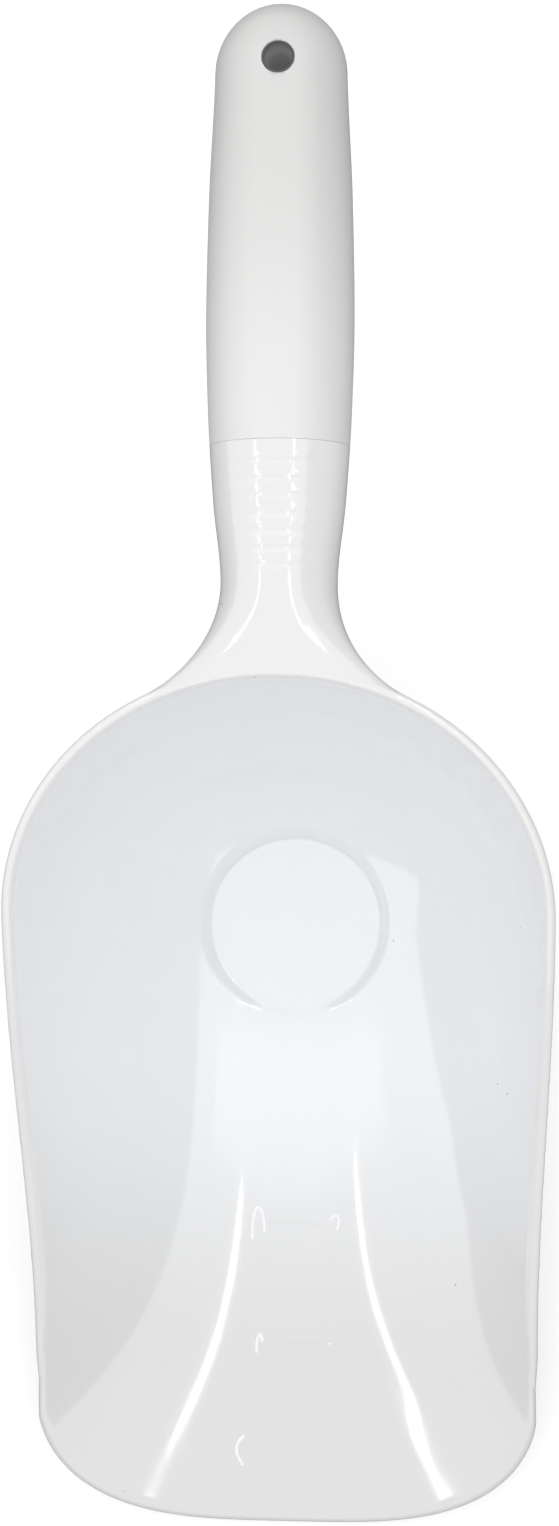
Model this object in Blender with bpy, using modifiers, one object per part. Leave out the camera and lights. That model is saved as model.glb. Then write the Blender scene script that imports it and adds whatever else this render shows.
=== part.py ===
"""Ice scoop: a moulded bowl with a foot, held by a rim-and-neck frame with a hollow two-shell grip.

Metres, +Z up. X runs across the scoop, which is symmetric about X = 0. The grip points to +Y
and the lip to -Y. The origin is under the middle of the scoop, on the plane that it stands on.
"""

import math

import bmesh
import bpy
import numpy as np

# Overall
LENGTH = 0.335
END_Y = LENGTH / 2
LIP_Y = -LENGTH / 2

# Bowl, seen from above: a half-ellipse behind its centre, tapered sides and a straight lip
BOWL_Y = -0.0308
HALF_WIDTH = 0.0607
REAR_REACH = 0.0543
LIP_HALF_WIDTH = 0.0578
TAPER_LENGTH = 0.092
CORNER_LENGTH = 0.0275
CORNER_POWERS = (3.2, 2.1)
LIP_TRIM = 0.003

# Bowl, seen from the side
FLOOR_Z = 0.0033
RIM_Z = 0.076
RIM_LINE = ((0.0235, RIM_Z), (-0.062, 0.062), (-0.108, 0.014), (LIP_Y, 0.012))
WALL = 0.0022
STEEPEST_WALL = math.radians(83)
FLAT_HALF_WIDTH = 0.002
GAP = 0.0003
# How far a cutter reaches past what it cuts
CLEAR = 0.03

# Foot: a round well pressed down out of the floor
FOOT_Y = -0.029
FOOT_RADIUS = 0.0210
FOOT_FLOOR_Z = 0.0025

# Rim bead
BEAD_WIDTH = 0.0024
BEAD_HEIGHT = 0.0032
BEAD_END_HEIGHT = 0.0006
BEAD_PROUD = 0.00005
BEAD_FADE = (-0.105, -0.143)

# Neck
NECK_Y = 0.0425
NECK_HALF_WIDTH = 0.0128
NECK_HALF_DEPTH = 0.0104
FLARE_RADIUS = 0.0285
FLARE_END_Y = 0.0169
NECK_FRONT_Y = 0.0140
FLANGE_DEPTH = 0.0034
GUSSET_DEPTH = 0.030

# Grip
SEAM_Y = 0.072
GRIP_RISE = math.tan(math.radians(6))
GRIP_END_LENGTH = 0.0145
GRIP_STATIONS = (
    # y, half width, half depth
    (NECK_Y, NECK_HALF_WIDTH, NECK_HALF_DEPTH),
    (0.060, 0.0145, 0.0109),
    (0.079, 0.0157, 0.0114),
    (0.099, 0.0162, 0.0116),
    (0.125, 0.0157, 0.0112),
    (0.150, 0.0145, 0.0106),
    (END_Y, 0.0140, 0.0103),
)
GRIP_WALL = 0.0021
TANG_LENGTH = 0.018
TANG_WALL = 0.002
CAVITY_FRONT_Y = 0.0435

# Grip ribs: fine raised lines across the top of the neck
RIB_COUNT = 7
RIB_PITCH = 0.0037
RIB_HEIGHT = 0.0003
RIB_HALF_LENGTH = 0.0009

# Hanging hole
HOLE_Y = END_Y - 0.0140
HOLE_RADIUS = 0.0037
SLEEVE_RADIUS = 0.0035
BORE_RADIUS = 0.00305
# The sleeve's length as a share of the grip's depth at the hole
SLEEVE_SHARE = 0.93

RING_POINTS = 28


def clear_scene():
    for item in list(bpy.data.objects):
        bpy.data.objects.remove(item, do_unlink=True)


def new_collection(name):
    made = bpy.data.collections.new(name)
    bpy.context.scene.collection.children.link(made)
    return made


def plastic(name, colour, roughness):
    """An opaque plastic of this colour."""
    made = bpy.data.materials.new(name)
    made.use_nodes = True
    surface = made.node_tree.nodes["Principled BSDF"]
    surface.inputs["Base Color"].default_value = (*colour, 1)
    surface.inputs["Roughness"].default_value = roughness
    surface.inputs["Metallic"].default_value = 0
    made.diffuse_color = (*colour, 1)
    return made


def mesh_object(name, vertices, faces, material=None, helper=False, closed=True):
    """A new object among the parts or, for a helper, among the cutters. A closed one faces out."""
    mesh = bpy.data.meshes.new(name)
    mesh.from_pydata([tuple(v) for v in vertices], [], faces)
    shape = bmesh.new()
    shape.from_mesh(mesh)
    bmesh.ops.remove_doubles(shape, verts=shape.verts, dist=1e-6)
    bmesh.ops.dissolve_degenerate(shape, edges=shape.edges, dist=1e-7)
    if closed:
        bmesh.ops.recalc_face_normals(shape, faces=shape.faces)
    shape.to_mesh(mesh)
    shape.free()
    made = bpy.data.objects.new(name, mesh)
    (CUTTERS if helper else PARTS).objects.link(made)
    made.hide_render = helper
    if helper:
        made.display_type = "WIRE"
    else:
        mesh.materials.append(material)
    return made


def boolean(part, tool, operation):
    modifier = part.modifiers.new(f"{operation.title()} {tool.name}", "BOOLEAN")
    modifier.operation = operation
    modifier.solver = "EXACT"
    modifier.object = tool


def smooth_step(value, start, end):
    """0 at start, 1 at end, with no slope at either."""
    t = np.clip((value - start) / (end - start), 0, 1)
    return t * t * (3 - 2 * t)


def bezier(points, count):
    """Points of a cubic Bezier curve."""
    t = np.linspace(0, 1, count)[:, None]
    a, b, c, d = (np.array(p) for p in points)
    return (1 - t) ** 3 * a + 3 * t * (1 - t) ** 2 * b + 3 * t * t * (1 - t) * c + t**3 * d


RIM_CURVE = bezier(RIM_LINE, 400)[::-1]


def rim_height(y):
    return float(np.interp(y, RIM_CURVE[:, 0], RIM_CURVE[:, 1]))


def side_half_width(y):
    """Half the outer width of the bowl ahead of its centre, before the lip's corners are cut."""
    return HALF_WIDTH + (LIP_HALF_WIDTH - HALF_WIDTH) * smooth_step(BOWL_Y - y, 0, TAPER_LENGTH)


def lip_outline(steps=14):
    """The right half of the lip seen from above, from the side of the bowl to its middle."""
    across, along = (2 / power for power in CORNER_POWERS)
    return [
        (
            LIP_HALF_WIDTH * math.cos(angle) ** across,
            LIP_Y + CORNER_LENGTH * (1 - math.sin(angle) ** along),
        )
        for angle in np.linspace(0, math.pi / 2, steps + 1)[:-1]
    ] + [(0, LIP_Y)]


def bead_height(y):
    fade = smooth_step(y, *BEAD_FADE)
    return BEAD_HEIGHT + (BEAD_END_HEIGHT - BEAD_HEIGHT) * fade


class WallSection:
    """Half a cross-section of the inside: flat, then an arc, then straight up to the rim.

    It starts at foot, a point on the floor's middle line, and runs toward the unit vector out.
    """

    def __init__(self, foot, out, outer_reach, height):
        self.foot = np.array([*foot, FLOOR_Z])
        self.out = np.array([*out, 0])
        self.fit(outer_reach - BEAD_WIDTH, height)
        # A bead on a low, leaning wall covers less ground seen from above.
        self.fit(outer_reach - BEAD_WIDTH * math.sin(self.angle), height)

    def fit(self, reach, height):
        across = reach - FLAT_HALF_WIDTH
        # The arc alone reaches the rim of a low wall. A tall wall also needs a straight part.
        arc_only = 2 * math.atan2(height, across)
        sharpness = 12
        blend = arc_only**-sharpness + STEEPEST_WALL**-sharpness
        self.angle = blend ** (-1 / sharpness)
        turn = 1 - math.cos(self.angle)
        self.radius = (across * math.sin(self.angle) - height * math.cos(self.angle)) / turn
        self.arc_end = FLAT_HALF_WIDTH + self.radius * self.angle
        self.rim = self.arc_end + (height * math.sin(self.angle) - turn * across) / turn

    def at(self, travel, offset=0):
        """The point this far along the section, and this far out of the inside surface."""
        angle = min(max(travel - FLAT_HALF_WIDTH, 0) / self.radius, self.angle)
        distance = min(travel, FLAT_HALF_WIDTH) + self.radius * math.sin(angle)
        height = self.radius * (1 - math.cos(angle))
        beyond = max(travel - self.arc_end, 0)
        distance += beyond * math.cos(angle) + offset * math.sin(angle)
        height += beyond * math.sin(angle) - offset * math.cos(angle)
        return self.foot + distance * self.out + np.array([0, 0, height])


def bowl_sections():
    """Sections of the right half of the bowl, from past the lip to the middle of the rear wall."""
    found = []
    for y in np.linspace(LIP_Y - LIP_TRIM, BOWL_Y, 22):
        found.append(WallSection((0, y), (1, 0), side_half_width(y), rim_height(y) - FLOOR_Z))
    for angle in np.linspace(0, math.pi / 2, 15)[1:]:
        end = np.array([HALF_WIDTH * math.cos(angle), REAR_REACH * math.sin(angle)])
        reach = float(np.linalg.norm(end))
        height = rim_height(BOWL_Y + end[1]) - FLOOR_Z
        found.append(WallSection((0, BOWL_Y), end / reach, reach, height))
    return found


def shell_end(section):
    """How far along a section the bowl's own wall goes, which is short of the bead above it."""
    y = section.at(section.rim)[1]
    under_bead = smooth_step(y, BEAD_FADE[1] - 0.003, BEAD_FADE[1])
    return section.rim - under_bead * (bead_height(y) + GAP)


def half_bowl_grid(sections, ends, offset, steps=12):
    """Rows of points, one row for each section, from the floor's middle line outward."""
    return [
        [section.at(end * (i / steps), offset) for i in range(steps + 1)]
        for section, end in zip(sections, ends)
    ]


def grid_faces(rows, columns):
    return [
        (r * columns + c, r * columns + c + 1, (r + 1) * columns + c + 1, (r + 1) * columns + c)
        for r in range(rows - 1)
        for c in range(columns - 1)
    ]


def mirrored(grid):
    """The half grid with its mirror image, as one list of rows across the whole bowl."""
    flip = np.array([-1, 1, 1])
    return [[p * flip for p in row[::-1]] + row[1:] for row in grid]


def filled_bowl(name, sections, ends, offset):
    """A cutter: all the space inside a surface of the bowl, up to a lid across its edge."""
    grid = mirrored(half_bowl_grid(sections, ends, offset))
    rows, columns = len(grid), len(grid[0])
    points = [p for row in grid for p in row]
    faces = grid_faces(rows, columns)
    for r in range(rows - 1):
        left, right = r * columns, r * columns + columns - 1
        faces.append((left, left + columns, right + columns, right))
    # The front end is open under the lid's first edge.
    faces.append(tuple(range(columns)))
    return mesh_object(name, points, faces, helper=True)


def cutter(name, shape, centre):
    """A helper object made from a bmesh."""
    mesh = bpy.data.meshes.new(name)
    shape.to_mesh(mesh)
    shape.free()
    made = bpy.data.objects.new(name, mesh)
    made.location = centre
    made.hide_render = True
    made.display_type = "WIRE"
    CUTTERS.objects.link(made)
    return made


def cylinder(name, centre, radius, bottom, top, sides=48):
    """A cutter that stands upright."""
    shape = bmesh.new()
    bmesh.ops.create_cone(
        shape, cap_ends=True, segments=sides, radius1=radius, radius2=radius, depth=top - bottom
    )
    return cutter(name, shape, (*centre, (top + bottom) / 2))


def lip_cutter():
    """Everything ahead of the lip's outline and outside its corners."""
    right = lip_outline()
    edge = right + [(-x, y) for x, y in right[-2::-1]]
    back, front, side = LIP_Y + CORNER_LENGTH, LIP_Y - CLEAR, HALF_WIDTH + CLEAR
    outline = edge + [(-side, back), (-side, front), (side, front), (side, back)]
    levels = (-CLEAR, rim_height(back) + CLEAR)
    return loft("lip_trim", [[(x, y, z) for x, y in outline] for z in levels], helper=True)


def handle_half_cutter(name, upper):
    """A slab over or under the handle's middle plane, which slopes with the handle."""
    side = 1 if upper else -1
    near, far = SEAM_Y - CLEAR, END_Y + CLEAR
    shape = bmesh.new()
    bmesh.ops.create_cube(shape, size=2)
    for corner in shape.verts:
        corner.co.x *= CLEAR
        corner.co.y = near if corner.co.y < 0 else far
        level = axis_height(corner.co.y) - side * GAP / 2
        corner.co.z = level if corner.co.z * side < 0 else level + side * CLEAR
    return cutter(name, shape, (0, 0, 0))


def loft(name, rings, material=None, helper=False):
    """A closed body through rings of points, with a cap on each end."""
    count = len(rings[0])
    points = [p for ring in rings for p in ring]
    faces = []
    for r in range(len(rings) - 1):
        for i in range(count):
            j = (i + 1) % count
            faces.append(tuple(r * count + k for k in (i, j)) + tuple((r + 1) * count + k for k in (j, i)))
    faces.append(tuple(range(count)))
    last = (len(rings) - 1) * count
    faces.append(tuple(last + i for i in range(count)))
    return mesh_object(name, points, faces, material, helper)


def smooth_through(stations, y):
    """Values between stations by a monotone cubic through them."""
    table = np.array(stations)
    at, values = table[:, 0], table[:, 1:]
    slopes = np.diff(values, axis=0) / np.diff(at)[:, None]
    same_way = slopes[:-1] * slopes[1:] > 0
    inner = np.where(same_way, 2 * slopes[:-1] * slopes[1:] / (slopes[:-1] + slopes[1:] + 1e-12), 0)
    tangents = np.vstack([np.zeros_like(slopes[:1]), inner, slopes[-1:]])
    i = int(np.clip(np.searchsorted(at, y) - 1, 0, len(at) - 2))
    span = at[i + 1] - at[i]
    t = (y - at[i]) / span
    start = (2 * t**3 - 3 * t**2 + 1) * values[i] + (t**3 - 2 * t**2 + t) * span * tangents[i]
    end = (3 * t**2 - 2 * t**3) * values[i + 1] + (t**3 - t**2) * span * tangents[i + 1]
    return start + end


def axis_height(y):
    return RIM_Z - NECK_HALF_DEPTH + max(0, y - NECK_Y) * GRIP_RISE


def grip_ring(y, inset=0.0, rib=0.0):
    """An oval section of the handle, smaller by inset, with a rib over its top."""
    half_width, half_depth = smooth_through(GRIP_STATIONS, y)
    round_start = END_Y - GRIP_END_LENGTH
    end_length = GRIP_END_LENGTH - inset
    into_end = min(max(y - round_start, 0) / end_length, 1)
    shrink = math.sqrt(1 - into_end**2)
    ring = []
    for angle in np.arange(RING_POINTS) * 2 * math.pi / RING_POINTS:
        on_top = max(0, math.sin(angle)) ** 4
        wide = (half_width - inset + rib * on_top) * shrink
        deep = (half_depth - inset + rib * on_top) * shrink
        ring.append((wide * math.cos(angle), y, axis_height(y) + deep * math.sin(angle)))
    return ring


def neck_ring(y):
    """A section of the flared neck: a flange at the rim's level over a deepening gusset."""
    flare_centre = NECK_HALF_WIDTH + FLARE_RADIUS
    from_start = NECK_Y - max(y, FLARE_END_Y)
    half_width = flare_centre - math.sqrt(FLARE_RADIUS**2 - from_start**2)
    flared = smooth_step(y, NECK_Y, FLARE_END_Y)
    upper = NECK_HALF_DEPTH + (FLANGE_DEPTH - NECK_HALF_DEPTH) * flared
    lower = 2 * NECK_HALF_DEPTH + GUSSET_DEPTH * flared**2 / 2 - upper
    top = min(RIM_Z, rim_height(y) if y < RIM_LINE[0][0] else RIM_Z)
    ring = []
    for angle in np.arange(RING_POINTS) * 2 * math.pi / RING_POINTS:
        across, up = math.cos(angle), math.sin(angle)
        if up >= 0:
            x = half_width * across
            z = top - upper + upper * up ** (1 - 0.5 * flared)
        else:
            flange = (half_width - NECK_HALF_WIDTH) * math.copysign(abs(across) ** 6, across)
            x = NECK_HALF_WIDTH * across + flange
            z = top - upper + lower * up
        ring.append((x, y, z))
    return ring


def rib_rings():
    """Rings along the ribbed stretch of the neck, three for each rib."""
    rings = []
    for i in range(RIB_COUNT):
        y = SEAM_Y - GAP - RIB_PITCH * (RIB_COUNT - i)
        rings.append(grip_ring(y - RIB_HALF_LENGTH))
        rings.append(grip_ring(y, rib=RIB_HEIGHT))
        rings.append(grip_ring(y + RIB_HALF_LENGTH))
    return rings


def make_bead(sections):
    """The rim bead, from one faded end round the rear to the other, as a closed sweep."""
    on_side = [s for s in sections if s.at(s.rim)[1] > BEAD_FADE[1]]
    right = []
    for section in on_side:
        edge = section.at(section.rim)
        height = bead_height(edge[1])
        low = section.rim - height
        # The section stands just into the wall's inner face, and its top is cut to a round crown.
        outline = (
            (low, -BEAD_PROUD),
            (low, BEAD_WIDTH),
            (section.rim - 0.35 * height, BEAD_WIDTH),
            (section.rim - 0.08 * height, 0.8 * BEAD_WIDTH),
            (section.rim, 0.5 * BEAD_WIDTH),
            (section.rim - 0.08 * height, 0.2 * BEAD_WIDTH),
            (section.rim - 0.35 * height, -BEAD_PROUD),
        )
        right.append([section.at(travel, offset) for travel, offset in outline])
    flip = np.array([-1, 1, 1])
    left = [[p * flip for p in ring] for ring in right[:-1]]
    return loft("rim_bead_body", left + right[::-1], helper=True)


def make_bowl(sections, material):
    ends = [shell_end(s) for s in sections]
    grid = half_bowl_grid(sections, ends, 0)
    points = [p for row in grid for p in row]
    faces = grid_faces(len(grid), len(grid[0]))
    shell = mesh_object("bowl", points, faces, material, closed=False)
    half = shell.modifiers.new("Both sides", "MIRROR")
    half.use_axis = (True, False, False)
    half.merge_threshold = 0.00001
    thick = shell.modifiers.new("Wall", "SOLIDIFY")
    thick.thickness = WALL
    thick.offset = -1
    thick.use_quality_normals = True
    # The foot: a plug under the floor, cut to the floor's own shape and then hollowed.
    ring = cylinder("foot_body", (0, FOOT_Y), FOOT_RADIUS + WALL, 0, FLOOR_Z + CLEAR)
    inside = filled_bowl("bowl_inside", sections, [s.rim for s in sections], WALL / 2)
    boolean(ring, inside, "DIFFERENCE")
    well = cylinder("foot_well", (0, FOOT_Y), FOOT_RADIUS, FOOT_FLOOR_Z, FLOOR_Z + CLEAR)
    boolean(shell, lip_cutter(), "DIFFERENCE")
    boolean(shell, ring, "UNION")
    boolean(shell, well, "DIFFERENCE")
    return shell


def make_frame(sections, material):
    """Rim bead, flared neck with ribs, and the tang that the grip's shells close over."""
    front = np.linspace(NECK_FRONT_Y, NECK_Y, 12)
    tang_start = SEAM_Y - GAP / 2
    rings = [neck_ring(y) for y in front] + rib_rings() + [grip_ring(tang_start)]
    inset = GRIP_WALL + GAP
    tang = np.linspace(tang_start, SEAM_Y + TANG_LENGTH, 4)
    rings += [grip_ring(y, inset) for y in tang]
    frame = loft("handle_frame", rings, material)
    # The lid of this cutter ends inside the bead's height, above the whole slanted wall top.
    shell_ends = [shell_end(s) + BEAD_HEIGHT / 3 for s in sections]
    wall_space = filled_bowl("bowl_space", sections, shell_ends, WALL + GAP)
    inside = filled_bowl("rim_space", sections, [s.rim + CLEAR for s in sections], 0)
    boolean(frame, wall_space, "DIFFERENCE")
    boolean(frame, inside, "DIFFERENCE")
    hollow = np.linspace(CAVITY_FRONT_Y, SEAM_Y + TANG_LENGTH + TANG_WALL, 9)
    cavity = loft("neck_cavity", [grip_ring(y, inset + TANG_WALL) for y in hollow], helper=True)
    boolean(frame, cavity, "DIFFERENCE")
    boolean(frame, make_bead(sections), "UNION")
    return frame


def make_grip_shell(name, upper, material):
    """One half of the hollow grip, parted along the handle's middle plane."""
    start = SEAM_Y + GAP / 2
    round_start = END_Y - GRIP_END_LENGTH
    straight = list(np.linspace(start, round_start, 9))
    turns = np.linspace(0, math.pi / 2, 7)[1:-1]
    cap = [round_start + GRIP_END_LENGTH * math.sin(a) for a in turns]
    outer = [grip_ring(y) for y in straight + cap + [END_Y - GAP / 10]]
    shell = loft(name, outer, material)
    inner_end = [round_start + (GRIP_END_LENGTH - GRIP_WALL) * math.sin(a) for a in turns]
    straight[0] -= GRIP_WALL
    hollow = [grip_ring(y, GRIP_WALL) for y in straight + inner_end]
    cavity = loft(f"{name}_cavity", hollow, helper=True)
    boolean(shell, cavity, "DIFFERENCE")
    boolean(shell, handle_half_cutter(f"{name}_other_half", not upper), "DIFFERENCE")
    height = axis_height(HOLE_Y)
    hole = cylinder(f"{name}_hole", (0, HOLE_Y), HOLE_RADIUS, height - CLEAR, height + CLEAR, 32)
    boolean(shell, hole, "DIFFERENCE")
    return shell


def make_sleeve(material):
    """The liner of the hanging hole, cut to follow the grip's surface at both ends."""
    middle = axis_height(HOLE_Y)
    half = smooth_through(GRIP_STATIONS, HOLE_Y)[1] * SLEEVE_SHARE
    profile = [
        (BORE_RADIUS, half),
        (SLEEVE_RADIUS, half),
        (SLEEVE_RADIUS, -half),
        (BORE_RADIUS, -half),
    ]
    points = [(radius, 0, height) for radius, height in profile]
    mesh = bpy.data.meshes.new("hang_hole_sleeve")
    mesh.from_pydata(points, [(0, 1), (1, 2), (2, 3), (3, 0)], [])
    mesh.materials.append(material)
    sleeve = bpy.data.objects.new("hang_hole_sleeve", mesh)
    sleeve.location = (0, HOLE_Y, middle)
    turned = sleeve.modifiers.new("Turned", "SCREW")
    turned.steps = 32
    turned.render_steps = 32
    turned.merge_threshold = 0.00001
    PARTS.objects.link(sleeve)
    return sleeve


def shade_smooth(part, crease_degrees):
    if len(part.data.polygons):
        part.data.shade_smooth()
        part.data.set_sharp_from_angle(angle=math.radians(crease_degrees))


clear_scene()
PARTS = new_collection("Ice scoop")
CUTTERS = new_collection("Cutters")
CUTTERS.hide_render = True

cool_white = plastic("Bowl plastic", (0.80, 0.82, 0.84), 0.22)
warm_white = plastic("Frame plastic", (0.86, 0.85, 0.83), 0.25)
satin_white = plastic("Grip plastic", (0.84, 0.83, 0.80), 0.45)
dark_grey = plastic("Sleeve plastic", (0.11, 0.11, 0.11), 0.6)

bowl_profile = bowl_sections()
bowl = make_bowl(bowl_profile, cool_white)
frame = make_frame(bowl_profile, warm_white)
front_shell = make_grip_shell("grip_front_shell", True, satin_white)
back_shell = make_grip_shell("grip_back_shell", False, satin_white)
sleeve = make_sleeve(dark_grey)

for piece in (bowl, frame, front_shell, back_shell):
    shade_smooth(piece, 40)
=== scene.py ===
"""Ice scoop: fine surfaces, materials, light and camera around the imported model.

Metres, +Z up. X runs across the scoop, the grip points to +Y and the lip to -Y. The scoop stands
on its foot at Z = 0. Every piece rides on the one body, "root".
"""

import math

import bmesh
import bpy
import numpy as np
from mathutils import Matrix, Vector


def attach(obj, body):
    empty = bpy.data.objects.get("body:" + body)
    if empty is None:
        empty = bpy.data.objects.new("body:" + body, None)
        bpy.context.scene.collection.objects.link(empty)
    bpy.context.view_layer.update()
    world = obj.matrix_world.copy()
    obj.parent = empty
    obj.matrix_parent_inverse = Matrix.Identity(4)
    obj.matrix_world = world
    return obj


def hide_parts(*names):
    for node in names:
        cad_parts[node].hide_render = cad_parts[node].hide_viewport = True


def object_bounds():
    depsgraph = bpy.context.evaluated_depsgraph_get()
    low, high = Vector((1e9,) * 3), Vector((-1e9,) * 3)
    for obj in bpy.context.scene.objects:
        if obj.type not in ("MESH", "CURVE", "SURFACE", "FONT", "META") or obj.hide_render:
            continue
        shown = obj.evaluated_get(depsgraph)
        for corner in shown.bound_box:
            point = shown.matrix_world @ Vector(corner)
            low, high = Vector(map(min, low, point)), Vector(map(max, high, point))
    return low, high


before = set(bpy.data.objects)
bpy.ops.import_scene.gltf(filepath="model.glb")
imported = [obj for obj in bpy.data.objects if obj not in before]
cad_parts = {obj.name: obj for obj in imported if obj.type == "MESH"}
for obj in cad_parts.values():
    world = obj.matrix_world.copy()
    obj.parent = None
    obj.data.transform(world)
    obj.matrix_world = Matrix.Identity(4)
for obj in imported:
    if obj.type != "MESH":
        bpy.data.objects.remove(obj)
cad_low, cad_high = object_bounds()

# Overall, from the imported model
END_Y = cad_high.y
LIP_Y = cad_low.y
RIM_Z = 0.076

# Bowl, seen from above: a half-ellipse behind its centre, tapered sides and a straight lip
BOWL_Y = -0.0308
HALF_WIDTH = 0.0607
REAR_REACH = 0.0543
LIP_HALF_WIDTH = 0.0578
TAPER_LENGTH = 0.092
CORNER_LENGTH = 0.0275
CORNER_POWERS = (3.2, 2.1)
CORNER_NARROWING = 1.75

# Bowl, seen from the side
FLOOR_Z = 0.0033
RIM_LINE = ((0.0235, RIM_Z), (-0.062, 0.062), (-0.108, 0.014), (LIP_Y, 0.012))
WALL = 0.0022
STEEPEST_WALL = math.radians(83)
WALL_BLEND = 12
FLAT_HALF_WIDTH = 0.002

# Foot: a round well pressed down out of the floor
FOOT_Y = -0.029
FOOT_RADIUS = 0.0210
FOOT_FLOOR_Z = 0.0029
FOOT_EDGE = 0.0013
WELL_RINGS = [0.004, 0.009, 0.014, 0.0175]

# Measuring marks on the floor, each a thin raised stroke through these x, y
MARK_RADIUS = 0.00045
MARK_SUNK = 0.4
SCALE_LINE_SUNK = 0.85
MARKS = (
    ((-0.0091, -0.1028), (-0.0092, -0.0975), (-0.0078, -0.0946), (-0.0064, -0.0975), (-0.0063, -0.1010)),
    ((0.0088, -0.0982), (0.0102, -0.0966), (0.0115, -0.0982), (0.0106, -0.1003)),
    ((-0.0077, -0.1290), (-0.0079, -0.1262), (-0.0070, -0.1240), (-0.0064, -0.1262)),
    ((0.0091, -0.1268), (0.0093, -0.1263)),
    ((-0.0104, -0.1480), (-0.0121, -0.1495), (-0.0122, -0.1525), (-0.0106, -0.1548)),
)
SCALE_LINES = ((-0.0055, 0.0080, -0.0990), (-0.0050, 0.0080, -0.1265))

# Rim bead
BEAD_WIDTH = 0.0024
BEAD_HEIGHT = 0.0032
BEAD_END_HEIGHT = 0.0006
BEAD_CROWN = 0.65
BEAD_LEAST_SIDE = 0.0002
BEAD_END_WIDTH = 0.5
BEAD_END_DROP = 0.35
BEAD_FADE = (-0.105, -0.143)
BEAD_NARROWING = (-0.126, -0.143)

# Neck, which is cut off flat at the seam with the grip
NECK_Y = 0.0425
NECK_HALF_WIDTH = 0.0128
NECK_HALF_DEPTH = 0.0104
FLARE_RADIUS = 0.0285
FLARE_END_Y = 0.0169
NECK_FRONT_Y = 0.0140
FLANGE_DEPTH = 0.0034
GUSSET_DEPTH = 0.030

# Grip
SEAM_Y = 0.072
GRIP_RISE = math.tan(math.radians(6))
GRIP_END_LENGTH = 0.0145
GRIP_STATIONS = (
    # y, half width, half depth
    (NECK_Y, NECK_HALF_WIDTH, NECK_HALF_DEPTH),
    (0.060, 0.0145, 0.0109),
    (0.079, 0.0157, 0.0114),
    (0.099, 0.0162, 0.0116),
    (0.125, 0.0157, 0.0112),
    (0.150, 0.0145, 0.0106),
    (END_Y, 0.0140, 0.0103),
)
PARTING = 0.00003
NECK_SPARE = 0.003
SEAM_CUTTER = 0.1

# Blending of the bead and the neck, and the angle from which an edge is drawn sharp
VOXEL = 0.0004
SMOOTHING = 5
BOWL_SPACE_ABOVE = 0.02
SHARP = math.radians(50)

# Ribs across the top of the neck
RIB_COUNT = 7
RIB_PITCH = 0.0037
RIB_HEIGHT = 0.00022
RIB_HALF_LENGTH = 0.0009

# Hanging hole
HOLE_Y = END_Y - 0.0140
HOLE_RADIUS = 0.0036
SLEEVE_RADIUS = 0.0034
BORE_RADIUS = 0.0031
SLEEVE_BEVEL = 0.0001
SLEEVE_REACH = 0.95
# How far down the hole the liner's painted shade runs from near black to pale grey
LINER_SHADE_DEPTH = 0.006
HOLE_CUTTER = 0.03

# Plastic: how fine each pattern in it is
CLOUD_SCALE = 30
WAVE_SCALE = 45
SPECK_SCALE = 70
GRAIN_SCALE = 900
SPECK_EDGE = (0.012, 0.02)
GLOSS_SPREAD = 0.1

# Camera: the distance, the pitch and the target's height are guesses, and the rest was fitted to
# the photograph's outline
LENS = 77.43
CAMERA_DISTANCE = 0.712
CAMERA_TARGET = (0.0006, 0.0032, 0.066)
CAMERA_PITCH = math.radians(5)
CAMERA_ROLL = math.radians(4.375)
CAMERA_SPIN = math.radians(0.716)

# Light: radiances, and panels as their low and high corners in x, y. The tubes' places follow from
# where the photograph's gleams lie on the plastic, and were then moved.
WORLD_EDGES = (-0.35, 0.25)
WORLD_STRENGTHS = (0.13, 0.93)
LIGHT_LEVEL = 1.0
SOFTBOX_LEVEL = 1.05
SOFTBOX = 1.9
SOFTBOX_CORNERS = ((-4, -1.0), (0.75, 6))
PANEL = 1.2
PANEL_CORNERS = ((-0.87, -0.135), (0.49, -0.05))
TUBE = 45
TUBES = (
    # front pair, the near ends narrower
    ((-0.506, -0.32), (-0.494, -0.14)),
    ((-0.504, -0.372), (-0.494, -0.32)),
    ((-0.5, -0.384), (-0.41, -0.372)),
    ((0.209, -0.27), (0.221, -0.15)),
    ((0.209, -0.345), (0.219, -0.27)),
    # rear pair
    ((-0.546, -0.02), (-0.534, 0.38)),
    ((0.294, -0.02), (0.306, 0.38)),
    # two small lamps behind them
    ((-0.56, 0.4), (-0.48, 0.48)),
    ((0.32, 0.4), (0.4, 0.48)),
)

# Stage: a floor and a round wall this far from the scoop
STAGE_REACH = 6
FLOOR_GLOW = 0.45


def smooth_step(value, start, end):
    """0 at start, 1 at end, with no slope at either."""
    t = np.clip((value - start) / (end - start), 0, 1)
    return t * t * (3 - 2 * t)


def full_turn(count):
    """Angles of this many even steps round a circle."""
    return np.linspace(0, 2 * math.pi, count + 1)[:-1]


def bezier(points, count):
    """Points of a cubic Bezier curve."""
    t = np.linspace(0, 1, count)[:, None]
    a, b, c, d = (np.array(p) for p in points)
    return (1 - t) ** 3 * a + 3 * t * (1 - t) ** 2 * b + 3 * t * t * (1 - t) * c + t**3 * d


RIM_CURVE = bezier(RIM_LINE, 400)[::-1]


def rim_height(y):
    """Height of the rim line at this y."""
    return float(np.interp(y, RIM_CURVE[:, 0], RIM_CURVE[:, 1]))


def side_half_width(y):
    """Half the outer width of the bowl ahead of its centre, before the lip's corners are cut."""
    return HALF_WIDTH + (LIP_HALF_WIDTH - HALF_WIDTH) * smooth_step(BOWL_Y - y, 0, TAPER_LENGTH)


def bead_height(y):
    """How far the bead reaches down the wall, which is less toward the lip."""
    fade = smooth_step(y, *BEAD_FADE)
    return BEAD_HEIGHT + (BEAD_END_HEIGHT - BEAD_HEIGHT) * fade


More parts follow.
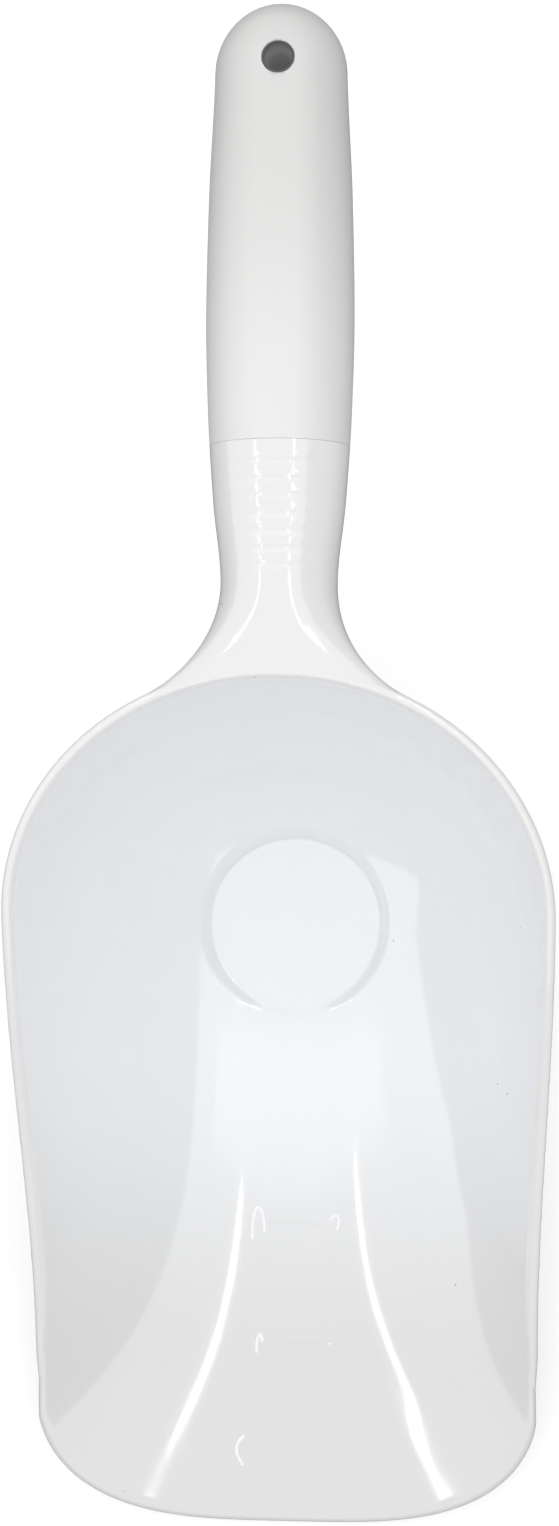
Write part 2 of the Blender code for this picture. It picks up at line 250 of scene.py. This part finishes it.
class WallSection:
    """Half a cross-section of the inside: flat, then an arc, then straight up to the rim.

    It starts at foot, a point on the floor's middle line, and runs toward the unit vector out.
    """

    def __init__(self, foot, out, outer_reach, height):
        self.foot = np.array([*foot, FLOOR_Z])
        self.out = np.array([*out, 0])
        self.fit(outer_reach - BEAD_WIDTH, height)
        # A bead on a low, leaning wall covers less ground seen from above.
        self.fit(outer_reach - BEAD_WIDTH * math.sin(self.angle), height)

    def fit(self, reach, height):
        across = reach - FLAT_HALF_WIDTH
        # The arc alone reaches the rim of a low wall. A tall wall also needs a straight part.
        arc_only = 2 * math.atan2(height, across)
        blend = arc_only**-WALL_BLEND + STEEPEST_WALL**-WALL_BLEND
        self.angle = blend ** (-1 / WALL_BLEND)
        turn = 1 - math.cos(self.angle)
        self.radius = (across * math.sin(self.angle) - height * math.cos(self.angle)) / turn
        self.arc_end = FLAT_HALF_WIDTH + self.radius * self.angle
        self.rim = self.arc_end + (height * math.sin(self.angle) - turn * across) / turn

    def at(self, travel, offset=0.0):
        """The point this far along the section, and this far out of the inside surface."""
        angle = min(max(travel - FLAT_HALF_WIDTH, 0) / self.radius, self.angle)
        distance = min(travel, FLAT_HALF_WIDTH) + self.radius * math.sin(angle)
        height = self.radius * (1 - math.cos(angle))
        beyond = max(travel - self.arc_end, 0)
        distance += beyond * math.cos(angle) + offset * math.sin(angle)
        height += beyond * math.sin(angle) - offset * math.cos(angle)
        return self.foot + distance * self.out + np.array([0, 0, height])


def side_section(y, side=1):
    """The section across the bowl at this y, ahead of the bowl's centre."""
    return WallSection((0, y), (side, 0), side_half_width(y), rim_height(y) - FLOOR_Z)


def rear_section(out):
    """The section from the bowl's centre toward a unit vector that points behind it."""
    reach = 1 / math.hypot(out[0] / HALF_WIDTH, out[1] / REAR_REACH)
    height = rim_height(BOWL_Y + reach * out[1]) - FLOOR_Z
    return WallSection((0, BOWL_Y), out, reach, height)


def right_sections(front_y, ahead, behind):
    """Sections of the right half: this many ahead of the bowl's centre, then this many behind."""
    sections = [side_section(y) for y in np.linspace(front_y, BOWL_Y, ahead)]
    for angle in np.linspace(0, math.pi / 2, behind + 1)[1:]:
        out = np.array([HALF_WIDTH * math.cos(angle), REAR_REACH * math.sin(angle)])
        sections.append(rear_section(out / np.linalg.norm(out)))
    return sections


def mirrored(points):
    """These points on the other side of the scoop."""
    return [p * np.array([-1, 1, 1]) for p in points]


def unrolled(x, y):
    """The section through a point of the bowl's surface rolled out flat, and its travel there."""
    if y <= BOWL_Y:
        return side_section(y, math.copysign(1, x)), abs(x)
    travel = math.hypot(x, y - BOWL_Y)
    return rear_section((x / travel, (y - BOWL_Y) / travel)), travel


def corner_y(x, inset):
    """Where the lip's outline is, this far to the side of the middle, drawn in by inset."""
    across, along = CORNER_POWERS
    into = min(abs(x) / (LIP_HALF_WIDTH - CORNER_NARROWING * inset), 1)
    return LIP_Y + inset + CORNER_LENGTH * (1 - (1 - into**across) ** (1 / along))


def wall_end(section):
    """How far up a section the bowl's own wall goes: into the bead where there is one."""
    y = section.at(section.rim)[1]
    under_bead = smooth_step(y, BEAD_FADE[1] - 0.003, BEAD_FADE[1])
    return section.rim - under_bead * bead_height(y) / 2 - WALL / 2


def inside_outline(x, y):
    """Whether an unrolled point is on the bowl, leaving room for its edge to be rounded."""
    section, travel = unrolled(x, y)
    point = section.at(travel)
    return travel < wall_end(section) and point[1] > corner_y(point[0], WALL / 2)


def link(name, mesh, material):
    """A new object of this mesh in the scene, with its material if there is one."""
    made = bpy.data.objects.new(name, mesh)
    bpy.context.scene.collection.objects.link(made)
    if material:
        mesh.materials.append(material)
    return made


def ring_mesh(name, rings, material=None, caps=True):
    """A mesh through closed rings of points, with a cap on each end. Points that meet are joined."""
    count = len(rings[0])
    points = [tuple(p) for ring in rings for p in ring]
    faces = []
    for r in range(len(rings) - 1):
        for i in range(count):
            j = (i + 1) % count
            faces.append((r * count + i, r * count + j, (r + 1) * count + j, (r + 1) * count + i))
    if caps:
        last = (len(rings) - 1) * count
        faces.append(tuple(reversed(range(count))))
        faces.append(tuple(last + i for i in range(count)))
    mesh = bpy.data.meshes.new(name)
    mesh.from_pydata(points, [], faces)
    shape = bmesh.new()
    shape.from_mesh(mesh)
    bmesh.ops.remove_doubles(shape, verts=shape.verts, dist=1e-7)
    bmesh.ops.recalc_face_normals(shape, faces=shape.faces)
    shape.to_mesh(mesh)
    shape.free()
    mesh.shade_smooth()
    mesh.set_sharp_from_angle(angle=SHARP)
    return link(name, mesh, material)


def applied(made):
    """The object with its modifiers made part of its mesh."""
    graph = bpy.context.evaluated_depsgraph_get()
    mesh = bpy.data.meshes.new_from_object(made.evaluated_get(graph))
    made.modifiers.clear()
    made.data = mesh
    return made


def boolean(part, tool, operation="DIFFERENCE"):
    """Cuts the tool from the part, or joins it, and removes the tool."""
    modifier = part.modifiers.new(operation, "BOOLEAN")
    modifier.operation = operation
    modifier.solver = "EXACT"
    modifier.object = tool
    applied(part)
    bpy.data.objects.remove(tool)


# Bowl


def bowl_rays(count=440):
    """Rays from the foot's centre to the outline, in the unrolled plane, evenly spaced at its end."""
    coarse = []
    for angle in full_turn(720):
        way = np.array([math.cos(angle), math.sin(angle)])
        near, far = FOOT_RADIUS, 0.2
        for _ in range(22):
            middle = (near + far) / 2
            if inside_outline(way[0] * middle, FOOT_Y + way[1] * middle):
                near = middle
            else:
                far = middle
        coarse.append(way * near)
    coarse = np.array(coarse + [coarse[0]])
    steps = np.linalg.norm(np.diff(coarse, axis=0), axis=1)
    along = np.concatenate([[0], np.cumsum(steps)])
    wanted = np.linspace(0, along[-1], count + 1)[:-1]
    return np.stack([np.interp(wanted, along, coarse[:, i]) for i in range(2)], axis=1)


def foot_step(distance, radius):
    """1 inside the foot's circle, 0 outside it, with a steep side between."""
    return 1 - smooth_step(distance, radius - FOOT_EDGE, radius + FOOT_EDGE)


def bowl_point(x, y, offset):
    """A point of the bowl's inner surface, or with an offset of WALL of its outer one."""
    section, travel = unrolled(x, y)
    point = section.at(travel, offset)
    radius = FOOT_RADIUS + offset
    floor = FOOT_FLOOR_Z if offset == 0 else 0.0
    away = math.hypot(point[0], point[1] - FOOT_Y)
    point[2] += (floor - point[2]) * foot_step(away, radius)
    return point


def make_bowl(material):
    """The bowl: rings from the foot's middle out to the edge, inside and outside, joined there."""
    rays = bowl_rays()
    lengths = np.linalg.norm(rays, axis=1)
    near_edge = FOOT_RADIUS + np.linspace(-1.6, 5, 26) * FOOT_EDGE
    rings = []
    for distance in WELL_RINGS + list(near_edge):
        rings.append(rays / lengths[:, None] * distance)
    out_from = near_edge[-1] / lengths
    for step in np.linspace(0, 1, 58)[1:]:
        rings.append(rays * (out_from + (1 - out_from) * step)[:, None])
    inner = [[bowl_point(x, FOOT_Y + y, 0) for x, y in ring] for ring in rings]
    outer = [[bowl_point(x, FOOT_Y + y, WALL) for x, y in ring] for ring in rings]
    # The edge between the two surfaces is rounded, straight out from the outline.
    edge = []
    middle = (np.array(inner[-1]) + np.array(outer[-1])) / 2
    half = (np.array(inner[-1]) - np.array(outer[-1])) / 2
    outward = np.cross(np.roll(middle, -1, axis=0) - np.roll(middle, 1, axis=0), half)
    outward /= np.linalg.norm(outward, axis=1)[:, None]
    for angle in np.linspace(0, math.pi, 9)[1:-1]:
        edge.append(middle + half * math.cos(angle) + outward * WALL / 2 * math.sin(angle))
    return ring_mesh("bowl_shell", inner + edge + outer[::-1], material)


# Frame: rim bead and neck


def make_bowl_space():
    """The rear of the bowl's inside as a solid, out to the middle of the bead and up past the rim."""
    rows = []
    for section in right_sections(-0.08, 12, 39):
        travels = np.linspace(0, 1, 24) * (section.rim + BOWL_SPACE_ABOVE)
        right = [section.at(travel, BEAD_WIDTH / 2) for travel in travels]
        rows.append(mirrored(right[:0:-1]) + right)
    return ring_mesh("bowl_space", rows)


def axis_height(y):
    """Height of the handle's middle line, which rises behind the neck. Takes an array of y too."""
    return RIM_Z - NECK_HALF_DEPTH + np.maximum(0, y - NECK_Y) * GRIP_RISE


def smooth_through(stations, y):
    """Values between stations by a monotone cubic through them."""
    table = np.array(stations)
    at, values = table[:, 0], table[:, 1:]
    slopes = np.diff(values, axis=0) / np.diff(at)[:, None]
    same_way = slopes[:-1] * slopes[1:] > 0
    inner = np.where(same_way, 2 * slopes[:-1] * slopes[1:] / (slopes[:-1] + slopes[1:] + 1e-12), 0)
    tangents = np.vstack([np.zeros_like(slopes[:1]), inner, slopes[-1:]])
    i = int(np.clip(np.searchsorted(at, y) - 1, 0, len(at) - 2))
    span = at[i + 1] - at[i]
    t = (y - at[i]) / span
    start = (2 * t**3 - 3 * t**2 + 1) * values[i] + (t**3 - 2 * t**2 + t) * span * tangents[i]
    end = (3 * t**2 - 2 * t**3) * values[i + 1] + (t**3 - t**2) * span * tangents[i + 1]
    return start + end


def grip_ring(y, angles, inset=0.0):
    """Points of an oval section of the handle at these angles."""
    half_width, half_depth = smooth_through(GRIP_STATIONS, y)
    into_end = min(max(y - END_Y + GRIP_END_LENGTH, 0) / GRIP_END_LENGTH, 1)
    shrink = math.sqrt(1 - into_end**2)
    wide = max((half_width - inset) * shrink, 0)
    deep = max((half_depth - inset) * shrink, 0)
    return [(wide * math.cos(a), y, axis_height(y) + deep * math.sin(a)) for a in angles]


def neck_ring(y, angles):
    """A section of the flared neck: a flange at the rim's level over a deepening gusset."""
    flare_centre = NECK_HALF_WIDTH + FLARE_RADIUS
    from_start = NECK_Y - max(y, FLARE_END_Y)
    half_width = flare_centre - math.sqrt(FLARE_RADIUS**2 - from_start**2)
    flared = smooth_step(y, NECK_Y, FLARE_END_Y)
    upper = NECK_HALF_DEPTH + (FLANGE_DEPTH - NECK_HALF_DEPTH) * flared
    lower = 2 * NECK_HALF_DEPTH + GUSSET_DEPTH * flared**2 / 2 - upper
    ring = []
    for angle in angles:
        across, up = math.cos(angle), math.sin(angle)
        if up >= 0:
            x = half_width * across
            z = RIM_Z - upper + upper * up ** (1 - 0.5 * flared)
        else:
            flange = (half_width - NECK_HALF_WIDTH) * math.copysign(abs(across) ** 6, across)
            x = NECK_HALF_WIDTH * across + flange
            z = RIM_Z - upper + lower * up
        ring.append((x, y, z))
    return ring


def bead_ring(section):
    """The rim bead's section on this wall: straight sides under a round crown.

    Toward the lip the bead narrows and sinks into the wall's own round edge.
    """
    y = section.at(section.rim)[1]
    left = 1 - smooth_step(y, *BEAD_NARROWING)
    half = (BEAD_WIDTH * left + WALL * BEAD_END_WIDTH * (1 - left)) / 2
    middle = BEAD_WIDTH * left / 2 + WALL * (1 - left) / 2
    top = section.rim - WALL * BEAD_END_DROP * (1 - left)
    low = top - max(bead_height(y), half + BEAD_LEAST_SIDE)
    crown = half * BEAD_CROWN
    outline = [(low, middle - half), (low, middle + half)]
    for angle in np.linspace(0, math.pi, 11):
        outline.append((top - crown + crown * math.sin(angle), middle + half * math.cos(angle)))
    return [section.at(travel, offset) for travel, offset in outline]


def make_bead():
    """The rim bead, from one side of the lip round the rear to the other."""
    right = [bead_ring(section) for section in right_sections(BEAD_FADE[1], 110, 89)]
    left = [mirrored(ring) for ring in right[:-1]]
    return ring_mesh("bead", left + right[::-1])


def rib_rise(y):
    """How far the ribbed stretch of the neck stands up at this y."""
    rise = 0
    for i in range(RIB_COUNT):
        away = (y - (SEAM_Y - RIB_PITCH * (RIB_COUNT - i))) / RIB_HALF_LENGTH
        rise = rise + RIB_HEIGHT * np.exp(-2 * away**2)
    return rise


def make_frame(material):
    """The rim bead and the neck, blended into one moulding."""
    angles = full_turn(96)
    rings = [neck_ring(y, angles) for y in np.linspace(NECK_FRONT_Y, NECK_Y, 40)]
    rings += [grip_ring(y, angles) for y in np.linspace(NECK_Y, SEAM_Y + NECK_SPARE, 45)[1:]]
    neck = ring_mesh("neck", rings)
    boolean(neck, make_bowl_space())
    boolean(neck, make_bead(), "UNION")
    remesh = neck.modifiers.new("Voxels", "REMESH")
    remesh.mode = "VOXEL"
    remesh.voxel_size = VOXEL
    smooth = neck.modifiers.new("Smooth", "SMOOTH")
    smooth.iterations = SMOOTHING
    applied(neck)
    beyond_seam = (0, SEAM_Y - PARTING + SEAM_CUTTER / 2, RIM_Z)
    bpy.ops.mesh.primitive_cube_add(size=SEAM_CUTTER, location=beyond_seam)
    boolean(neck, bpy.context.object)
    count = len(neck.data.vertices)
    points = np.empty(count * 3)
    neck.data.vertices.foreach_get("co", points)
    points = points.reshape(-1, 3)
    above_axis = points[:, 2] - axis_height(points[:, 1])
    points[:, 2] += rib_rise(points[:, 1]) * np.clip(above_axis / NECK_HALF_DEPTH, 0, 1) ** 4
    neck.data.vertices.foreach_set("co", points.ravel())
    neck.data.shade_smooth()
    neck.data.set_sharp_from_angle(angle=SHARP)
    neck.name = "rim_and_neck"
    neck.data.materials.clear()
    neck.data.materials.append(material)
    return neck


# Grip


def make_grip_half(name, side, material):
    """The upper half of the grip where side is 1, or the lower half where it is -1."""
    angles = np.linspace(0, math.pi, 73) * side
    round_start = END_Y - GRIP_END_LENGTH
    stations = list(np.linspace(SEAM_Y + PARTING, round_start, 60))
    for angle in np.linspace(0, math.pi / 2, 24)[1:]:
        stations.append(round_start + GRIP_END_LENGTH * math.sin(angle))
    apart = np.array((0, 0, side * PARTING))
    rings = [[np.array(p) + apart for p in grip_ring(y, angles)] for y in stations]
    return ring_mesh(name, rings, material)


def hole_ring(radius, height):
    """A circle round the hanging hole's axis, this far above the middle of the grip."""
    level = axis_height(HOLE_Y) + height
    return [(radius * math.cos(a), HOLE_Y + radius * math.sin(a), level) for a in full_turn(64)]


def make_hole_cutter():
    """A cylinder that cuts the hanging hole through a half of the grip."""
    return ring_mesh("hole_cutter", [hole_ring(HOLE_RADIUS, z) for z in (-HOLE_CUTTER, HOLE_CUTTER)])


def make_sleeve(material):
    """The liner of the hanging hole, a dark tube standing in for the shade inside the hole: painted
    shade.
    """
    half = smooth_through(GRIP_STATIONS, HOLE_Y)[1] * SLEEVE_REACH
    profile = (
        (SLEEVE_RADIUS, -half),
        (SLEEVE_RADIUS, half),
        (BORE_RADIUS + SLEEVE_BEVEL, half + SLEEVE_BEVEL),
        (BORE_RADIUS, half - SLEEVE_BEVEL),
        (BORE_RADIUS, -half),
    )
    rings = [hole_ring(radius, height) for radius, height in profile + profile[:1]]
    return ring_mesh("hole_liner", rings, material, caps=False)


def make_stroke(name, spots, sunk, material):
    """A thin stroke on the bowl's floor along these x, y, sunk by this share of its radius."""
    curve = bpy.data.curves.new(name, "CURVE")
    curve.dimensions = "3D"
    curve.bevel_depth = MARK_RADIUS
    curve.bevel_resolution = 4
    curve.use_fill_caps = True
    spline = curve.splines.new("NURBS")
    spline.points.add(len(spots) - 1)
    spline.order_u = 3
    spline.use_endpoint_u = True
    spline.resolution_u = 12
    for point, spot in zip(spline.points, spots):
        point.co = (*(bowl_point(*spot, 0) - np.array([0, 0, MARK_RADIUS * sunk])), 1)
    curve.materials.append(material)
    made = bpy.data.objects.new(name, curve)
    bpy.context.scene.collection.objects.link(made)
    return made


# Materials


def principled(name, colour, roughness):
    """A Principled material of this colour, with its node tree to add to."""
    made = bpy.data.materials.new(name)
    made.use_nodes = True
    surface = made.node_tree.nodes["Principled BSDF"]
    surface.inputs["Base Color"].default_value = (*colour, 1)
    surface.inputs["Roughness"].default_value = roughness
    made.diffuse_color = (*colour, 1)
    return made, made.node_tree, surface


def add_node(tree, kind, inputs, **settings):
    """A shader node with these settings, its inputs set to values or joined to other outputs."""
    made = tree.nodes.new("ShaderNode" + kind)
    for setting, value in settings.items():
        setattr(made, setting, value)
    for name, value in inputs.items():
        if isinstance(value, bpy.types.NodeSocket):
            tree.links.new(value, made.inputs[name])
        else:
            made.inputs[name].default_value = value
    return made


def join(tree, socket, surface, name):
    """Joins an output to this input of the surface."""
    tree.links.new(socket, surface.inputs[name])


def noise(tree, place, scale, detail):
    """The value of a noise pattern over the object."""
    made = add_node(tree, "TexNoise", {"Scale": scale, "Detail": detail, "Vector": place})
    return made.outputs["Fac"]


def ramp(tree, value, start, end, low=0.0, high=1.0, interpolation="LINEAR"):
    """The value mapped from start and end to low and high."""
    inputs = {"From Min": start, "From Max": end, "To Min": low, "To Max": high, "Value": value}
    return add_node(tree, "MapRange", inputs, interpolation_type=interpolation).outputs["Result"]


def mix(tree, factor, first, second, blend="MIX"):
    """A mix of two colours."""
    inputs = {"Factor": factor, "A": first, "B": second}
    return add_node(tree, "Mix", inputs, data_type="RGBA", blend_type=blend).outputs["Result"]


def object_place(tree):
    """The place on the object, and the same place split into x, y and z."""
    place = add_node(tree, "TexCoord", {}).outputs["Object"]
    return place, add_node(tree, "SeparateXYZ", {"Vector": place}).outputs


def moulded(name, colour, painted_shade_colour, reach, roughness, waviness=0.00003, grain=0.000002):
    """Moulded plastic: uneven colour and gloss, a few dark specks, long soft waves, a fine grain.

    The colour darkens into the second colour between the two distances along the scoop in reach, as
    painted shade.
    """
    made, tree, surface = principled(name, colour, roughness)
    place, axes = object_place(tree)
    cloud = noise(tree, place, CLOUD_SCALE, 4)
    # Painted shade: the colour darkens toward one end of the scoop.
    far = ramp(tree, axes["Y"], *reach, interpolation="SMOOTHSTEP")
    base = mix(tree, far, (*colour, 1), (*painted_shade_colour, 1))
    shade = mix(tree, cloud, base, (0.97, 0.97, 0.97, 1), "MULTIPLY")
    dots = add_node(tree, "TexVoronoi", {"Scale": SPECK_SCALE, "Vector": place})
    clean = ramp(tree, dots.outputs["Distance"], *SPECK_EDGE)
    join(tree, mix(tree, clean, (0.35, 0.34, 0.32, 1), shade), surface, "Base Color")
    spread = (roughness * (1 - GLOSS_SPREAD), roughness * (1 + GLOSS_SPREAD))
    join(tree, ramp(tree, cloud, 0, 1, *spread), surface, "Roughness")
    waves = {"Distance": waviness, "Height": noise(tree, place, WAVE_SCALE, 1)}
    wavy = add_node(tree, "Bump", waves).outputs["Normal"]
    grains = {"Distance": grain, "Height": noise(tree, place, GRAIN_SCALE, 2), "Normal": wavy}
    join(tree, add_node(tree, "Bump", grains).outputs["Normal"], surface, "Normal")
    return made


def glow(surface, colour, strength):
    """Makes the surface give off this much light of its own."""
    surface.inputs["Emission Color"].default_value = (*colour, 1)
    surface.inputs["Emission Strength"].default_value = strength


def painted_hole_shade(name, roughness):
    """Painted shade and light for the hanging hole: nearly black at its top, paler down inside it, with
    a faint glow.
    """
    made, tree, surface = principled(name, (0.2, 0.195, 0.195), roughness)
    _, axes = object_place(tree)
    top = axis_height(HOLE_Y) + smooth_through(GRIP_STATIONS, HOLE_Y)[1]
    # Painted shade: near black at the top edge of the hole, a paler grey deeper down.
    depth = ramp(tree, axes["Z"], top, top - LINER_SHADE_DEPTH)
    shade = mix(tree, depth, (0.01, 0.01, 0.01, 1), (0.5, 0.49, 0.49, 1))
    join(tree, shade, surface, "Base Color")
    # Painted light: a faint glow of its own lifts the dark inside of the hole.
    glow(surface, (1, 0.98, 0.98), 0.03)
    return made


# Stage


def glowing_matt(name, colour, roughness, strength):
    """A matt material that also gives off this much white light."""
    made, _, surface = principled(name, colour, roughness)
    surface.inputs["Specular IOR Level"].default_value = 0
    glow(surface, (1, 1, 1), strength)
    return made


def make_stage():
    """A white floor with a round white wall about it. Neither lights nor shows in the scoop."""
    side = STAGE_REACH
    corners = [(side * x, side * y, 0) for x, y in ((-1, -1), (1, -1), (1, 1), (-1, 1))]
    mesh = bpy.data.meshes.new("floor")
    mesh.from_pydata(corners, [], [(0, 1, 2, 3)])
    floor = link("floor", mesh, glowing_matt("floor", (0.8, 0.8, 0.8), 0.9, FLOOR_GLOW))
    rounds = []
    for height in (-0.01, 2 * side):
        rounds.append([(side * math.cos(a), side * math.sin(a), height) for a in full_turn(64)])
    wall = ring_mesh("backdrop", rounds, glowing_matt("backdrop", (0, 0, 0), 1, 1), caps=False)
    wall.visible_shadow = False
    for stage in (floor, wall):
        stage.visible_diffuse = False
        stage.visible_glossy = False


def make_world():
    """A bright overhead half and a dim lower half."""
    world = bpy.data.worlds.new("studio")
    bpy.context.scene.world = world
    world.use_nodes = True
    tree = world.node_tree
    place = add_node(tree, "TexCoord", {}).outputs["Generated"]
    height = add_node(tree, "SeparateXYZ", {"Vector": place}).outputs["Z"]
    background = tree.nodes["Background"]
    background.inputs["Color"].default_value = (0.97, 0.98, 1.0, 1)
    strength = ramp(tree, height, *WORLD_EDGES, *WORLD_STRENGTHS, "SMOOTHSTEP")
    join(tree, strength, background, "Strength")


def area_light(name, low, high, level, radiance, colour=(1, 1, 1)):
    """A light panel that faces down, from corner low to corner high, seen only in reflections."""
    width, depth = high[0] - low[0], high[1] - low[1]
    data = bpy.data.lights.new(name, "AREA")
    data.shape = "RECTANGLE"
    data.size, data.size_y = width, depth
    data.energy = radiance * math.pi * width * depth
    data.color = colour
    light = bpy.data.objects.new(name, data)
    light.location = ((low[0] + high[0]) / 2, (low[1] + high[1]) / 2, level)
    light.visible_camera = False
    light.visible_diffuse = False
    bpy.context.scene.collection.objects.link(light)


def make_lights():
    """A wide softbox, tubes along both sides of the scoop, and a fainter panel across them."""
    area_light("softbox", *SOFTBOX_CORNERS, SOFTBOX_LEVEL, SOFTBOX)
    area_light("panel", *PANEL_CORNERS, LIGHT_LEVEL, PANEL, (1, 0.97, 0.92))
    for number, (low, high) in enumerate(TUBES):
        area_light(f"tube_{number}", low, high, LIGHT_LEVEL, TUBE)


def make_camera():
    """The camera above the scoop, at the photograph's angle."""
    data = bpy.data.cameras.new("camera")
    data.lens = LENS
    data.clip_start = 0.01
    camera = bpy.data.objects.new("camera", data)
    bpy.context.scene.collection.objects.link(camera)
    pitch, roll, spin = CAMERA_PITCH, CAMERA_ROLL, CAMERA_SPIN
    tilted = math.cos(pitch)
    back = np.array([math.sin(roll) * tilted, -math.sin(pitch), math.cos(roll) * tilted])
    up = np.array([0, 1, 0]) - back * back[1]
    up /= np.linalg.norm(up)
    right = np.cross(up, back)
    matrix = np.eye(4)
    matrix[:3, 0] = math.cos(spin) * right + math.sin(spin) * up
    matrix[:3, 1] = -math.sin(spin) * right + math.cos(spin) * up
    matrix[:3, 2] = back
    matrix[:3, 3] = np.array(CAMERA_TARGET) + CAMERA_DISTANCE * back
    camera.matrix_world = Matrix(matrix.tolist())
    bpy.context.scene.camera = camera


# Painted light: the bowl's cooler white and the warmer white of frame and grip tint one plastic as the
# light falls on each.
cool_white = moulded("bowl plastic", (0.925, 0.93, 0.94), (0.775, 0.768, 0.75), (-0.055, -0.135), 0.08)
warm_white = moulded("frame plastic", (0.905, 0.895, 0.875), (0.84, 0.835, 0.82), (-0.09, -0.15), 0.09)
satin_white = moulded(
    "grip plastic", (0.84, 0.83, 0.81), (0.72, 0.71, 0.69), (0.072, 0.14), 0.45, grain=0.00001
)
# Painted highlight: the marks are a purer white than the bowl they stand on, standing in for their
# glints.
mark_glint_white, _, _ = principled("mark painted glint", (1, 1, 1), 0.1)
hole_shade_grey = painted_hole_shade("liner painted shade", 0.6)

bowl = make_bowl(cool_white)
frame_piece = make_frame(warm_white)
upper_half = make_grip_half("grip_upper", 1, satin_white)
lower_half = make_grip_half("grip_lower", -1, satin_white)
boolean(upper_half, make_hole_cutter())
boolean(lower_half, make_hole_cutter())
liner = make_sleeve(hole_shade_grey)

marks = [
    make_stroke(f"mark_{i}", spots, MARK_SUNK, mark_glint_white)
    for i, spots in enumerate(MARKS)
]
for i, (start, end, y) in enumerate(SCALE_LINES):
    spots = [(x, y) for x in np.linspace(start, end, 8)]
    marks.append(make_stroke(f"scale_line_{i}", spots, SCALE_LINE_SUNK, cool_white))
for made in marks:
    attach(made, "root")

for piece, node, slot in (
    (bowl, "bowl", "bowl_plastic"),
    (frame_piece, "handle_frame", "frame_plastic"),
    (upper_half, "grip_front_shell", "grip_plastic"),
    (lower_half, "grip_back_shell", "grip_plastic"),
    (liner, "hang_hole_sleeve", "sleeve_plastic"),
):
    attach(piece, "root")
    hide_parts(node)

make_stage()
make_world()
make_lights()
make_camera()
bpy.context.scene.view_settings.view_transform = "Standard"
